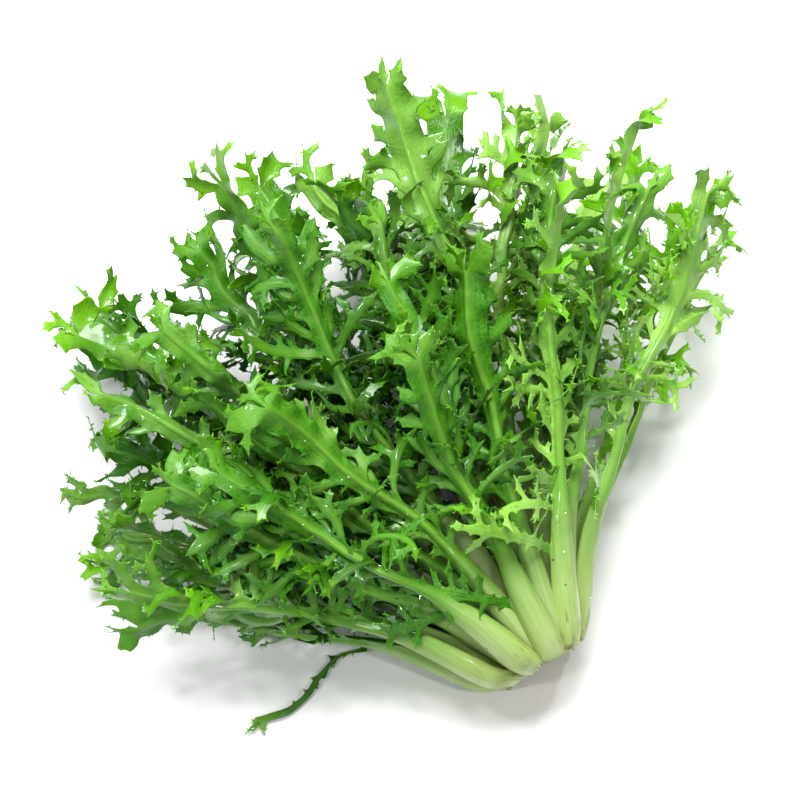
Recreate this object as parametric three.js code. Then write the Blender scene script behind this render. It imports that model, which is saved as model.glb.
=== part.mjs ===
// A head of curly endive, picked and cut, lying on its side on a flat surface.
//
// Millimetres, +Z up. +Y runs along the head from the cut end to the leaf tips, and +X is its
// right side. The origin is on the surface that the head lies on, under the middle of the head.
//
// The leaves stand in shells round the head's axis, like the layers of an onion that has opened.
// A place in the head is (shell, angle, reach): shell runs from 0 on the axis to 1 on the outside,
// angle from 0 on top of the head round its right side, and reach is the distance from the cut.
// The shells are pressed flat where they lie on the surface.
import * as THREE from "three";

// The head.
const longestLeaf = 286; // along the midrib of the longest leaf
const cutRadius = 19; // the bundle of leaf bases at the knife cut
const bundleRadius = 29; // the same bundle where it is fullest
const bundleSwell = 8; // how quickly it gets from the one to the other
const axisHeight = 22; // the axis above the surface at the cut
const axisRise = Math.tan(THREE.MathUtils.degToRad(18));
const sideSpread = Math.tan(THREE.MathUtils.degToRad(57));
const topSpread = Math.tan(THREE.MathUtils.degToRad(24));
const spreadStart = 45; // the leaves run nearly together for this long, then fan out
const flatShare = 0.8; // the underside is flat beyond this share of its depth
const cutSquareness = 40; // how far from the cut the leaves still know its slant

// A leaf.
const stalkThickness = 4;
const tipThickness = 1.1;
const stalkHalfWidth = 8.2;
const neckHalfWidth = 4.6; // where the stalk ends and the blade begins
const bladeHalfWidth = 21;
const bladeStart = 0.32; // the share of its length at which the blade begins
const ribShare = 0.45; // the rib's half width beside the stalk's
const lobeSweep = 0.45; // how far forward a lobe points, per unit of width
const sinusDepth = 0.62; // how far the gaps between lobes cut in
const cellShare = 0.47; // half the room beside a leaf that it may fill
const gapShare = 0.8; // the room between two shells that a leaf may fill

// The cut stem that holds the leaves.
const stemLength = 13;
const stemCutRadius = 9;
const stemShoulderRadius = 11.5;

// A thin leaf that has come away from the underside and lies out to the left.
const trailingCourse = [
  [-25, 9, 1.8],
  [-42, 31, 2.4],
  [-63, 56, 3],
  [-77, 68, 2.6],
  [-92, 67, 1.8],
  [-106, 58, 1.4],
  [-122, 54, 1.4],
];
const trailingThickness = 1.4;
const trailingHalfWidth = 1.7;
const trailingTipHalfWidth = 4.5;

// Leaf bases start at the cut on the outer shells, and past the end of the stem on the inner ones.
const shellGap = 0.16;
const shells = [
  { name: "outer_leaf", shell: 1.0, count: 10, turn: 0, start: 0 },
  { name: "second_leaf", shell: 0.84, count: 10, turn: 18, start: 0 },
  { name: "middle_leaf", shell: 0.68, count: 9, turn: 7, start: 0 },
  { name: "inner_leaf", shell: 0.52, count: 8, turn: 31, start: 18 },
  { name: "young_leaf", shell: 0.36, count: 6, turn: 12, start: 17 },
  { name: "heart_leaf", shell: 0.2, count: 4, turn: 40, start: 16.5 },
];

const ringPoints = 5;
const stations = 20;
const courseStep = 1.5;
const down = new THREE.Vector3(0, 0, -1);

// The same numbers every time, so that the head is the same every time.
function seededRandom(seed) {
  let state = seed;
  return (low, high) => {
    state = (Math.imul(state, 1664525) + 1013904223) >>> 0;
    return low + (high - low) * (state / 2 ** 32);
  };
}

const smooth = (edge0, edge1, x) => THREE.MathUtils.smoothstep(x, edge0, edge1);
const mix = THREE.MathUtils.lerp;

// The head's axis above the surface, and its half widths to the side, above and below the axis.
function section(reach) {
  const fan = (reach * reach) / (reach + spreadStart);
  const bundle = bundleRadius - (bundleRadius - cutRadius) * Math.exp(-reach / bundleSwell);
  const axis = axisHeight + axisRise * reach;
  return {
    axis,
    side: bundle + sideSpread * fan,
    above: bundle + topSpread * fan,
    below: axis,
  };
}

// The point of the head at a place.
function headPoint({ shell, angle, reach }) {
  const { axis, side, above, below } = section(reach);
  const upward = Math.cos(angle);
  const pressed = Math.max(-1, upward / flatShare);
  const height = shell * (upward >= 0 ? upward * above : pressed * below);
  const slant = axisRise * height * Math.exp(-reach / cutSquareness);
  return new THREE.Vector3(shell * Math.sin(angle) * side, reach - slant, axis + height);
}

// The head's directions at a place, each per unit of one of its three measures.
function directionsAt(place) {
  const d = 1e-3;
  const here = headPoint(place);
  const [out, round, along] = ["shell", "angle", "reach"].map((measure) =>
    headPoint({ ...place, [measure]: place[measure] + d }).sub(here).divideScalar(d),
  );
  return { out, round, along };
}

// The places along a leaf from its base to its tip, evenly spaced.
function leafCourse(leaf) {
  const course = [];
  const place = { shell: leaf.shell, angle: leaf.angle, reach: leaf.start };
  let last = headPoint(place);
  let length = 0;
  while (length < leaf.length) {
    const strayed = smooth(0.12, 1, length / leaf.length);
    course.push({ ...place, strayed, share: length / leaf.length });
    place.shell = leaf.shell + leaf.rise * strayed;
    place.angle = leaf.angle + leaf.wander * strayed;
    place.reach += courseStep;
    const next = headPoint(place);
    length += next.distanceTo(last);
    last = next;
  }
  course.push({ ...place, strayed: 1, share: 1 });
  return course;
}

function placeAt(course, share) {
  const after = Math.max(1, course.findIndex((place) => place.share >= share));
  const a = course[after - 1];
  const b = course[after];
  const k = (share - a.share) / (b.share - a.share);
  return {
    shell: mix(a.shell, b.shell, k),
    angle: mix(a.angle, b.angle, k),
    reach: mix(a.reach, b.reach, k),
    strayed: mix(a.strayed, b.strayed, k),
  };
}

// Half the leaf's width, before its margin is cut into lobes.
function outline(share) {
  if (share < bladeStart) {
    return mix(stalkHalfWidth, neckHalfWidth, smooth(0, bladeStart, share));
  }
  const blade = (share - bladeStart) / (1 - bladeStart);
  const grown = mix(neckHalfWidth, bladeHalfWidth, smooth(0, 0.55, blade));
  return grown * (1 - 0.72 * smooth(0.72, 1, blade));
}

// Lobes and gaps take turns along the blade, and the two margins are half a turn apart.
function lobeAt(station, side) {
  const share = station / stations;
  if (share < bladeStart || station === stations) return { size: 1, sweep: 0 };
  const isLobe = (station + (side > 0 ? 1 : 0)) % 2 === 0;
  return isLobe ? { size: 1, sweep: lobeSweep } : { size: 1 - sinusDepth, sweep: 0 };
}

// The five points round a leaf at one station: left margin, inner face, right margin and the two
// edges of the rib, which stands out of the outer face. pointAt gives the point of the leaf's outer
// face so far to the side, swept so far forward, and lifted so far off it.
function leafRing(pointAt, halfWidth, ribHalfWidth, thickness, station) {
  const margin = (side) => {
    const { size, sweep } = lobeAt(station, side);
    const width = halfWidth * size;
    return pointAt(side * width, sweep * width, -thickness / 2);
  };
  return [
    margin(-1),
    pointAt(0, 0, -thickness),
    margin(1),
    pointAt(ribHalfWidth, 0, 0),
    pointAt(-ribHalfWidth, 0, 0),
  ];
}

// A ring of a leaf in its shell. The leaf gives way sideways and in thickness to its neighbours.
function headLeafRing(leaf, course, station) {
  const share = station / stations;
  const place = placeAt(course, share);
  const { out, round, along } = directionsAt(place);
  const nearby = [share - 0.02, share + 0.02].map((s) => THREE.MathUtils.clamp(s, 0, 1));
  const [before, after] = nearby.map((s) => headPoint(placeAt(course, s)));
  const heading = after.sub(before).normalize();
  const outward = along.clone().cross(round).normalize();
  outward.multiplyScalar(Math.sign(outward.dot(out)));
  const sideways = outward.clone().cross(heading).normalize();

  // A step sideways, in radians round the shell and millimetres along it.
  const rr = round.dot(round);
  const ra = round.dot(along);
  const aa = along.dot(along);
  const sr = sideways.dot(round);
  const sa = sideways.dot(along);
  const turn = (sr * aa - sa * ra) / (rr * aa - ra * ra);
  const shift = (sa * rr - sr * ra) / (rr * aa - ra * ra);

  const perShell = out.dot(outward);
  const strayed = (Math.abs(leaf.rise) + Math.abs(leaf.twist)) * place.strayed;
  const room = (gapShare * shellGap - 2 * strayed) * perShell;
  const thickness = Math.min(room, mix(stalkThickness, tipThickness, smooth(0.1, 0.95, share)));
  const cell = cellShare * leaf.spacing - Math.abs(place.angle - leaf.angle);
  const widest = cell / Math.max(1e-6, Math.abs(turn));
  const halfWidth = Math.min(outline(share) * leaf.width, widest);
  const ribHalfWidth = ribShare * outline(Math.min(share, bladeStart)) * (1 - 0.75 * share);

  const pointAt = (width, sweep, lift) => {
    const tilt = THREE.MathUtils.clamp(width / bladeHalfWidth, -1, 1);
    return headPoint({
      shell: place.shell + leaf.twist * place.strayed * tilt + lift / perShell,
      angle: place.angle + turn * width,
      reach: place.reach + shift * width + sweep / along.length(),
    });
  };
  return leafRing(pointAt, halfWidth, Math.min(ribHalfWidth, 0.8 * halfWidth), thickness, station);
}

function trailingRing(curve, station) {
  const share = station / stations;
  const centre = curve.getPointAt(share);
  const heading = curve.getTangentAt(share);
  const sideways = down.clone().cross(heading).normalize();
  const outward = heading.clone().cross(sideways);
  const grown = smooth(0.6, 0.8, share) - smooth(0.93, 1, share);
  const halfWidth = mix(trailingHalfWidth, trailingTipHalfWidth, grown);
  const pointAt = (width, sweep, lift) =>
    centre
      .clone()
      .addScaledVector(sideways, width)
      .addScaledVector(heading, sweep)
      .addScaledVector(outward, lift + trailingThickness / 2);
  return leafRing(pointAt, halfWidth, trailingHalfWidth * 0.5, trailingThickness, station);
}

// A closed five-sided tube, with each of its rings moved to a station of the leaf.
function leafGeometry(ringAt) {
  const rings = Array.from({ length: stations + 1 }, (_, station) => ringAt(station));
  const tube = new THREE.CylinderGeometry(1, 1, stations, ringPoints, stations);
  const position = tube.getAttribute("position");
  for (let i = 0; i < position.count; i += 1) {
    const [x, y, z] = [position.getX(i), position.getY(i), position.getZ(i)];
    const ring = rings[Math.round(y + stations / 2)];
    const corner = Math.round((Math.atan2(x, z) / (2 * Math.PI) + 1) * ringPoints) % ringPoints;
    const centre = new THREE.Vector3();
    ring.forEach((point) => centre.addScaledVector(point, 1 / ringPoints));
    const point = Math.hypot(x, z) < 0.5 ? centre : ring[corner];
    position.setXYZ(i, point.x, point.y, point.z);
  }
  tube.deleteAttribute("normal");
  tube.deleteAttribute("uv");
  return tube;
}

function leafMesh(name, shell, ringAt) {
  const colour = new THREE.Color(0xc3dd86).lerp(new THREE.Color(0x4f9a1c), shell);
  const material = new THREE.MeshStandardMaterial({ color: colour, roughness: 0.5, metalness: 0 });
  const mesh = new THREE.Mesh(leafGeometry(ringAt), material);
  mesh.name = name;
  return mesh;
}

// Outer leaves are shorter than the ones beneath them on top of the head, and on its sides too.
function leafLength(shell, angle) {
  const onTop = Math.max(0, Math.cos(angle)) ** 1.5;
  const onSide = Math.abs(Math.sin(angle)) ** 2 * (1 - onTop);
  const shorter = smooth(0.3, 1, shell);
  const sunnySide = 1 + 0.06 * Math.sin(angle);
  return longestLeaf * sunnySide * mix(0.93, 1 - 0.38 * onTop - 0.26 * onSide, shorter);
}

function leavesOf(group, random) {
  const spacing = (2 * Math.PI) / group.count;
  return Array.from({ length: group.count }, (_, i) => {
    const angle = spacing * i + THREE.MathUtils.degToRad(group.turn);
    const lies = Math.cos(angle) < -flatShare ? 0 : 1;
    const leaf = {
      shell: group.shell,
      angle,
      start: group.start,
      spacing,
      length: leafLength(group.shell, angle) * random(0.88, 1),
      width: random(0.8, 1.1),
      wander: spacing * random(-0.2, 0.2) * lies,
      rise: shellGap * random(-0.15, 0.15) * lies,
      twist: shellGap * random(-0.2, 0.2) * lies,
    };
    const name = `${group.name}_${String(i + 1).padStart(2, "0")}`;
    const course = leafCourse(leaf);
    return leafMesh(name, leaf.shell, (station) => headLeafRing(leaf, course, station));
  });
}

// The stem end: a short cone with a rounded shoulder, cut flat across.
function stem() {
  const profile = [
    new THREE.Vector2(0, 0),
    new THREE.Vector2(stemCutRadius, 0),
    new THREE.Vector2(stemShoulderRadius, stemLength - 3),
    new THREE.Vector2(stemShoulderRadius * 0.6, stemLength - 0.8),
    new THREE.Vector2(0, stemLength),
  ];
  const material = new THREE.MeshStandardMaterial({ color: 0xe2e6c4, roughness: 0.7, metalness: 0 });
  const mesh = new THREE.Mesh(new THREE.LatheGeometry(profile, 20), material);
  mesh.name = "stem";
  mesh.position.set(0, 0, axisHeight);
  mesh.rotation.x = Math.atan(axisRise);
  return mesh;
}

const head = new THREE.Group();
const random = seededRandom(7);
head.add(stem());
shells.forEach((group) => head.add(...leavesOf(group, random)));
const trail = new THREE.CatmullRomCurve3(trailingCourse.map((p) => new THREE.Vector3(...p)));
head.add(leafMesh("trailing_leaf", 1, (station) => trailingRing(trail, station)));

// Moves the head so that the origin is on the surface under its middle.
const box = new THREE.Box3().setFromObject(head);
const middle = box.getCenter(new THREE.Vector3());
head.position.set(-middle.x, -middle.y, -box.min.z);

export default head;
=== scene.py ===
import math

import bmesh
import bpy
import numpy as np
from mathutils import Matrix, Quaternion, Vector


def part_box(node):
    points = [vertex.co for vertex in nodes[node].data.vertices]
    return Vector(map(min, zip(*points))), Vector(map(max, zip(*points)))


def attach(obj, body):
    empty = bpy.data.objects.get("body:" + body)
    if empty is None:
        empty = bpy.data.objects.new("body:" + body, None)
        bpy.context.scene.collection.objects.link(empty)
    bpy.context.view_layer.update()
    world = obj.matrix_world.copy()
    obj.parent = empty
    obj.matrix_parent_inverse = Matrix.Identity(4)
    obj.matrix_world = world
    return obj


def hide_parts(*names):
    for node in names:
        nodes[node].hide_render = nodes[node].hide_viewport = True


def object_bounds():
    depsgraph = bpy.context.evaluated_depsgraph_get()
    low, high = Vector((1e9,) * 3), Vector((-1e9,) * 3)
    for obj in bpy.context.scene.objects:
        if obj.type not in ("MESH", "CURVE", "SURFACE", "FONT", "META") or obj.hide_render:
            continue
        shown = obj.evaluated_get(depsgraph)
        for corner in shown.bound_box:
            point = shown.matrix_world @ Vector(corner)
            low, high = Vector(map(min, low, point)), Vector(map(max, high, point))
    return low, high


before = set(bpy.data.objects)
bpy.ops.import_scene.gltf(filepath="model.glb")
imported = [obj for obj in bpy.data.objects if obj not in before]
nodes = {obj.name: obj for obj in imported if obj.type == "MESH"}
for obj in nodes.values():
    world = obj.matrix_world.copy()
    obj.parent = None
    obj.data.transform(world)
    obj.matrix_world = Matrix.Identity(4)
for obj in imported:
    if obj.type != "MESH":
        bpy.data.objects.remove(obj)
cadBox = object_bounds()
mm = 0.001
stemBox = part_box("stem")
cutPlace = Vector(((stemBox[0].x + stemBox[1].x) / 2, stemBox[0].y, (stemBox[0].z + stemBox[1].z) / 2))
headRise = math.radians(18)  # how much the head's axis climbs from the cut
print("frame loaded,", len(nodes), "nodes")


# shader and geometry node helpers

class Maths:
    # a socket that can be written into a sum, so that 1 - mask and mask * 0.3 add their Math nodes

    def __init__(self, tree, socket):
        self.tree, self.socket = tree, socket

    def joined(self, operation, first, second=None):
        node = self.tree.nodes.new("ShaderNodeMath")
        node.operation = operation
        for socket, value in zip(node.inputs, (first, second)):
            if isinstance(value, Maths):
                self.tree.links.new(value.socket, socket)
            elif value is not None:
                socket.default_value = value
        return Maths(self.tree, node.outputs[0])

    def __add__(self, other):
        return self.joined("ADD", self, other)

    def __radd__(self, other):
        return self.joined("ADD", other, self)

    def __sub__(self, other):
        return self.joined("SUBTRACT", self, other)

    def __rsub__(self, other):
        return self.joined("SUBTRACT", other, self)

    def __mul__(self, other):
        return self.joined("MULTIPLY", self, other)

    def __rmul__(self, other):
        return self.joined("MULTIPLY", other, self)

    def clamped(self):
        return self.joined("MINIMUM", self.joined("MAXIMUM", self, 0.0), 1.0)


class Nodes:
    # adds nodes to a shader or geometry tree; sockets are given by name or by number

    def __init__(self, tree):
        self.tree = tree
        self.tree.nodes.clear()

    def add(self, kind, settings=None, sockets=None):
        node = self.tree.nodes.new(kind)
        for name, value in (settings or {}).items():
            setattr(node, name, value)
        for name, value in (sockets or {}).items():
            self.feed(node.inputs[name], value)
        return node

    def feed(self, socket, value):
        if isinstance(value, Maths):
            value = value.socket
        if isinstance(value, bpy.types.NodeSocket):
            self.tree.links.new(value, socket)
        else:
            socket.default_value = value

    def value(self, kind, settings=None, sockets=None, output=0):
        return Maths(self.tree, self.add(kind, settings, sockets).outputs[output])

    def attribute(self, name):
        return self.value("ShaderNodeAttribute", {"attribute_name": name}, output="Fac")

    def noise(self, place, scale, detail=3):
        sockets = {"Vector": place, "Scale": scale, "Detail": detail, "Roughness": 0.55}
        return self.value("ShaderNodeTexNoise", sockets=sockets)

    def remap(self, value, low, high):
        sockets = {"Value": value, "From Min": low, "From Max": high}
        return self.value("ShaderNodeMapRange", {"clamp": True}, sockets)

    def blend(self, amount, first, second, how="MIX"):
        settings = {"data_type": "RGBA", "blend_type": how}
        return self.add("ShaderNodeMix", settings, {0: amount, 6: first, 7: second}).outputs[2]


def colour(red, green, blue):
    # a display colour, 0 to 255, as the linear colour that a shader takes
    return tuple(((c / 255 + 0.055) / 1.055) ** 2.4 if c > 10 else c / 3295 for c in (red, green, blue))


def newMaterial(name):
    material = bpy.data.materials.new(name)
    material.use_nodes = True
    return material, Nodes(material.node_tree)


# leaf tissue

leafFinish = {
    "upper": colour(25, 98, 0),
    "upperDeep": colour(4, 37, 0),
    "upperLight": colour(108, 184, 4),
    "tip": colour(120, 188, 16),
    "under": colour(42, 108, 4),
    "underPale": colour(158, 208, 90),
    "vein": colour(112, 178, 44),
    "stalk": colour(70, 131, 8),
    "stalkPale": colour(150, 173, 94),
    "stalkRidge": colour(190, 204, 148),
    "rib": colour(110, 164, 52),
    # painted shade for leaves deep inside the head
    "depth": colour(9, 42, 1),
    "speck": colour(44, 40, 12),
    # brown of real stains, also used as painted shade in the seams and creases near the cut
    "stain": colour(92, 72, 26),
    "glow": colour(130, 200, 10),
    "translucence": 0.14,
}


def leafMaterial(name, paleness, shade):
    finish = {key: (*value, 1) if isinstance(value, tuple) else value for key, value in leafFinish.items()}
    material, shader = newMaterial(name)
    place = shader.add("ShaderNodeTexCoord").outputs["Object"]
    along, across, under, rib, tone, offset = (
        shader.attribute(key) for key in ("along", "across", "under", "rib", "tone", "offset"))

    mottle = shader.remap(shader.noise(place, 75, 4), 0.34, 0.66)
    patches = shader.remap(shader.noise(place, 16, 2), 0.32, 0.68)
    cells = shader.noise(place, 850, 2)

    # a net of fine veins, a little bent
    bent = shader.add("ShaderNodeTexNoise", sockets={"Vector": place, "Scale": 90.0, "Detail": 1.0})
    drift = {0: bent.outputs["Color"], "Scale": 0.004}
    bent = shader.add("ShaderNodeVectorMath", {"operation": "SCALE"}, drift)
    bent = shader.add("ShaderNodeVectorMath", {"operation": "ADD"}, {0: place, 1: bent.outputs[0]})
    cellPlace = {"Vector": bent.outputs[0], "Scale": 340.0}
    net = shader.value("ShaderNodeTexVoronoi", {"feature": "DISTANCE_TO_EDGE"}, cellPlace)
    veins = shader.remap(net, 0.14, 0.0) * (1 - rib)

    # the two faces of the blade, then what both share
    upper = shader.blend(mottle * 0.6 + patches * 0.4, finish["upperDeep"], finish["upper"])
    light = (shader.remap(across, 0.3, 1.0) * 0.4 + patches * 0.3 + tone * 0.7 - 0.32 + paleness).clamped()
    upper = shader.blend(light, upper, finish["upperLight"])
    pale = (mottle * 0.3 + patches * 0.6 + tone * 0.9 - 0.8 + paleness).clamped()
    lower = shader.blend(pale, finish["under"], finish["underPale"])
    leaf = shader.blend(under, upper, lower)
    leaf = shader.blend(veins * (0.1 + under * 0.12), leaf, finish["vein"])
    tipward = (shader.remap(along, 0.9, 1.0) * 0.5 + shader.remap(across, 0.8, 1.0) * 0.4).clamped()
    leaf = shader.blend(tipward * (1 - under * 0.6), leaf, finish["tip"])
    streaks = shader.add("ShaderNodeCombineXYZ", sockets={0: offset * 1.3, 1: along * 11, 2: tone * 50})
    streaks = shader.remap(shader.noise(streaks.outputs[0], 1.0, 3), 0.42, 0.72)
    leaf = shader.blend(streaks * 0.16, leaf, finish["upperLight"])
    ribShare = rib * (0.3 + under * 0.45) * (1 - shader.remap(along, 0.6, 1.0) * 0.5)
    leaf = shader.blend(ribShare.clamped(), leaf, finish["rib"])

    # the stalk: fibres run along it, and the offset from its middle is in millimetres
    strands = shader.add("ShaderNodeCombineXYZ", sockets={0: offset * 0.7, 1: along * 4, 2: tone * 30})
    fibres = shader.noise(strands.outputs[0], 1.0, 2)
    stalkTone = shader.remap(along + mottle * 0.04 + fibres * 0.12, 0.14, 0.46)
    stalk = shader.blend(stalkTone, finish["stalkPale"], finish["stalk"])
    ridge = shader.remap(offset * offset, 20.0, 1.0) * (1 - stalkTone) * (0.16 + mottle * 0.34)
    stalk = shader.blend(ridge, stalk, finish["stalkRidge"])
    stalk = shader.blend(shader.remap(fibres, 0.5, 0.75) * 0.25, stalk, finish["stalk"])

    # brown stains near the cut, and seams and creases that are partly real browning, partly painted shade
    # between and along the stalks
    stain = shader.remap(shader.noise(place, 130, 3), 0.52, 0.64) * shader.remap(along, 0.08, 0.0)
    seamStainAndShade = shader.remap(offset * offset, 24.0, 58.0) * shader.remap(along, 0.28, 0.02)
    between = fibres - 0.5
    # painted shade in part: dark lines along the stalk's fibres stand for creases where shade falls
    crease = shader.remap(between * between, 0.0012, 0.0) * shader.remap(along, 0.15, 0.03)
    crease = crease * shader.remap(shader.noise(place, 36, 1), 0.5, 0.57)
    stain = (stain + seamStainAndShade * 0.75 + crease + shader.remap(along, 0.022, 0.004) * mottle * 0.8).clamped()
    stalk = shader.blend(stain * 0.85, stalk, finish["stain"])
    stalkShare = (1 - shader.remap(along + across * 0.6, 0.26, 0.5)).clamped()
    leaf = shader.blend(stalkShare, leaf, stalk)
    # painted shade: what grows deep inside the head is darkened to stand for the shade it lies in
    shadeMask = shade * shader.remap(along, 0.02, 0.2) * shader.remap(along, 0.85, 0.5)
    leaf = shader.blend(shadeMask, leaf, finish["depth"])

    dots = {"Vector": place, "Scale": 150.0}
    specks = shader.value("ShaderNodeTexVoronoi", sockets=dots, output="Distance")
    few = shader.remap(shader.noise(place, 30, 1), 0.46, 0.56)
    speckMask = shader.remap(specks, 0.1, 0.06) * few * (1 - shader.remap(along, 0.6, 0.8))
    leaf = shader.blend(speckMask * 0.9, leaf, finish["speck"])

    blisters = shader.remap(net, 0.0, 0.4)
    bladeHeight = mottle * 0.6 + streaks * 0.4 + blisters * 0.3 * (1 - rib)
    height = cells * 0.15 + fibres * stalkShare * 0.9 + bladeHeight * (1 - stalkShare)
    bump = shader.add("ShaderNodeBump", sockets={"Strength": 0.6, "Distance": 0.0008, "Height": height})
    gloss = 0.22 + under * 0.12 + mottle * 0.14
    wet = shader.remap(shader.noise(place, 38, 2), 0.5, 0.6) * 0.75

    skin = shader.add("ShaderNodeBsdfPrincipled", sockets={
        "Base Color": leaf, "Roughness": gloss, "Normal": bump.outputs[0], "Specular IOR Level": 0.38,
        "IOR": 1.45, "Coat Weight": wet, "Coat Roughness": 0.1,
    })
    through = shader.add("ShaderNodeBsdfTranslucent", sockets={"Color": finish["glow"]})
    amount = finish["translucence"] * (1 - stalkShare * 0.8)
    both = shader.add("ShaderNodeMixShader", sockets={0: amount, 1: skin.outputs[0], 2: through.outputs[0]})
    shader.add("ShaderNodeOutputMaterial", sockets={"Surface": both.outputs[0]})
    return material


# the drops' near-white colour is a painted highlight: clear water drawn as white sparkling specks
dropFinish = {"tint": (*colour(206, 226, 190), 1), "roughness": 0.08}


def dropMaterial():
    material, shader = newMaterial("waterDrop")
    skin = shader.add("ShaderNodeBsdfPrincipled", sockets={
        "Base Color": dropFinish["tint"], "Roughness": dropFinish["roughness"], "Coat Weight": 1.0,
    })
    shader.add("ShaderNodeOutputMaterial", sockets={"Surface": skin.outputs[0]})
    return material


stemFinish = {
    "bark": (*colour(206, 214, 150), 1),
    "barkPale": (*colour(224, 228, 182), 1),
    "cut": (*colour(196, 170, 110), 1),
    "cutPale": (*colour(226, 214, 166), 1),
    "cutEdge": (*colour(122, 84, 40), 1),
    "roughness": 0.62,
}


def stemMaterial():
    material, shader = newMaterial("cutStem")
    place = shader.add("ShaderNodeTexCoord").outputs["Object"]
    blotch = shader.remap(shader.noise(place, 120, 4), 0.35, 0.7)
    cut = shader.attribute("cut")
    edge = shader.attribute("edge")
    body = shader.blend(blotch, stemFinish["bark"], stemFinish["barkPale"])
    face = shader.blend(blotch, stemFinish["cut"], stemFinish["cutPale"])
    face = shader.blend((edge * 0.7 + blotch * 0.2).clamped(), face, stemFinish["cutEdge"])
    skin = shader.blend(cut, body, face)
    bump = shader.add("ShaderNodeBump", sockets={"Strength": 0.4, "Distance": 0.0008, "Height": blotch})
    surface = shader.add("ShaderNodeBsdfPrincipled", sockets={
        "Base Color": skin, "Roughness": stemFinish["roughness"], "Normal": bump.outputs[0],
    })
    shader.add("ShaderNodeOutputMaterial", sockets={"Surface": surface.outputs[0]})
    return material


# reading a CAD leaf: five points round it at each station, from its base to its tip

def layersFrom(start, links):
    seen, layers = {start}, [[start]]
    while True:
        following = sorted({n for v in layers[-1] for n in links[v]} - seen)
        if not following:
            return layers
        seen.update(following)
        layers.append(following)


def aroundRing(layer, links):
    ring = [layer[0]]
    while len(ring) < len(layer):
        ring.append(next(v for v in sorted(links[ring[-1]]) if v in layer and v not in ring))
    return ring


def turnsOf(ring):
    for order in (ring, ring[::-1]):
        for i in range(len(order)):
            yield order[i:] + order[:i]


def cadRings(name):
    source = bmesh.new()
    source.from_mesh(nodes[name].data)
    bmesh.ops.remove_doubles(source, verts=source.verts, dist=1e-5)
    source.verts.ensure_lookup_table()
    places = [v.co.copy() for v in source.verts]
    links = {v.index: {e.other_vert(v).index for e in v.link_edges} for v in source.verts}
    source.free()
    ends = []
    for v in sorted(links):
        if len(links[v]) == 5:
            layers = layersFrom(v, links)
            if len(layers[-1]) == 1 and all(len(layer) == 5 for layer in layers[1:-1]):
                ends.append(layers)
    layers = min(ends, key=lambda found: (places[found[0][0]] - cutPlace).length)
    rings = []
    for layer in layers[1:-1]:
        ring = aroundRing(layer, links)
        if not rings:  # left margin, inner face, right margin, two edges of the rib
            first = max(turnsOf(ring), key=lambda r: (places[r[0]] - places[r[2]]).length)
            outward = (places[first[3]] + places[first[4]]) / 2 - places[first[1]]
            heading = sum((places[v] - places[w] for v, w in zip(layers[2], layers[1])), Vector())
            if outward.cross(heading).dot(places[first[2]] - places[first[0]]) < 0:
                first = [first[2], first[1], first[0], first[4], first[3]]
            rings.append(first)
        else:
            def twisted(r):
                apart = sum((places[a] - places[b]).length for a, b in zip(r, rings[-1]))
                return apart + sum(b not in links[a] for a, b in zip(r, rings[-1]))
            rings.append(min(turnsOf(ring), key=twisted))
    return np.array([[tuple(places[v]) for v in ring] for ring in rings])


def spline(values, at):
    # a smooth curve through evenly spaced values
    values = np.asarray(values, float)
    last = len(values) - 1
    at = np.clip(np.asarray(at, float), 0, last)
    i = np.minimum(at.astype(int), last - 1)
    t = (at - i).reshape(-1, *[1] * (values.ndim - 1))
    a, b = values[np.maximum(i - 1, 0)], values[i]
    c, d = values[i + 1], values[np.minimum(i + 2, last)]
    return b + 0.5 * t * (c - a + t * (2 * a - 5 * b + 4 * c - d + t * (3 * (b - c) + d - a)))


def unit(vectors):
    return vectors / np.maximum(np.linalg.norm(vectors, axis=-1, keepdims=True), 1e-12)


def smoothstep(low, high, x):
    t = np.clip((np.asarray(x, float) - low) / (high - low), 0, 1)
    return t * t * (3 - 2 * t)


# growing a leaf: a strap along the midrib, lobes from its margins, teeth from the lobes

class Sheet:
    def __init__(self):
        self.places, self.facts, self.faces, self.sharp = [], [], [], set()

    def add(self, place, thick, along, across, rib, offset=0.0):
        self.places.append(Vector(place))
        self.facts.append((thick, along, across, rib, offset))
        return len(self.places) - 1

    def bridge(self, row, following):
        for k in range(len(row) - 1):
            self.faces.append((row[k], row[k + 1], following[k + 1], following[k]))

    def close(self, row, tip):
        for k in range(len(row) - 1):
            self.faces.append((row[k], row[k + 1], tip))

    def margin(self, rows, start, span, side):
        # the points of one margin, in the order that a growth from it needs
        ids = [rows[j][-1 if side > 0 else 0] for j in range(start, start + span + 1)]
        return ids[::-1] if side > 0 else ids

    def middle(self, ids):
        return sum((self.places[i] for i in ids), Vector()) / len(ids)


lobeShape = {
    "step": 3.1 * mm,
    "width": (3.6 * mm, 6.0 * mm),  # low on the leaf, and near its tip
    "thick": 0.42 * mm,
    "rib": 0.75 * mm,
    "forkFrom": 10 * mm,  # a lobe longer than this has side fingers
    "forkChance": 0.5,
    "fingerLength": (3.6 * mm, 10 * mm),
    "toothLength": (1.0 * mm, 3.4 * mm),
    "toothThick": 0.3 * mm,
    "toothChance": 0.42,
    "toothCrease": 0.7,
    "cupping": (-0.1, 0.5),
    "bluntChance": 0.55,
    "fullLength": 26 * mm,  # a lobe this long has its tip colour and its longest fingers
}


def growTooth(sheet, root, ahead, length, along, across):
    tip = sheet.middle(root) + ahead * length
    sheet.close(root, sheet.add(tip, lobeShape["toothThick"], along, min(1, across + 0.1), 0))
    sheet.sharp.add(len(sheet.places) - 1)


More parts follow.
